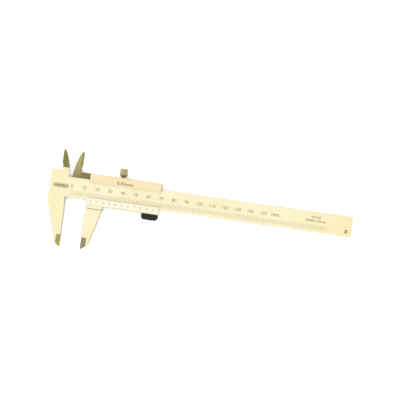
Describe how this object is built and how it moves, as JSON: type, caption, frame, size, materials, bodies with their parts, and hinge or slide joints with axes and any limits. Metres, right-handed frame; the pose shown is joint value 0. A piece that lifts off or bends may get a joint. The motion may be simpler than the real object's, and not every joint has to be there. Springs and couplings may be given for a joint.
{
  "type": "vernier caliper",
  "caption": "Sliding vernier caliper with long outside jaws, knife-edge inside blades, a lock screw and a thumb grip, graduated in millimetres.",
  "frame": {"origin": "centre of the bounding box, on the surface that the caliper lies on, with the jaws 16 mm open", "axes": "+X along the beam from the jaws to its free end, +Y across the beam towards the inside-measuring blades, +Z out of the graduated face"},
  "size_m": [0.2372, 0.0766, 0.007],
  "materials": {
    "satin_steel": "satin ground",
    "satin_steel_light": "fine satin",
    "bronze": "rolled strip",
    "dark_screw_steel": "oiled",
    "knurled_steel": "knurled",
    "black_grip": "moulded"
  },
  "bodies": {
    "beam_body": {"beam": "satin_steel", "end_stop_plate": "satin_steel", "end_stop_screw": "dark_screw_steel", "end_stop_dowel": "dark_screw_steel"},
    "slider_body": {"slider": "satin_steel", "vernier_plate": "satin_steel_light", "gib_strip": "bronze", "gib_screw_front": "dark_screw_steel", "gib_screw_rear": "dark_screw_steel", "thumb_grip": "black_grip", "grip_screw_front": "dark_screw_steel", "grip_screw_rear": "dark_screw_steel"},
    "lock_screw_body": {"lock_screw": "knurled_steel"}
  },
  "joints": [
    {"name": "slider_slide", "type": "slide", "parent": "beam_body", "child": "slider_body", "axis": [1, 0, 0], "range_m": [-0.016, 0.1403]},
    {"name": "lock_screw_turn", "type": "hinge", "parent": "slider_body", "child": "lock_screw_body", "pos_m": [-0.0629, 0.0228, 0.0035], "axis": [0, 1, 0], "range_deg": [-90, 360]}
  ]
}
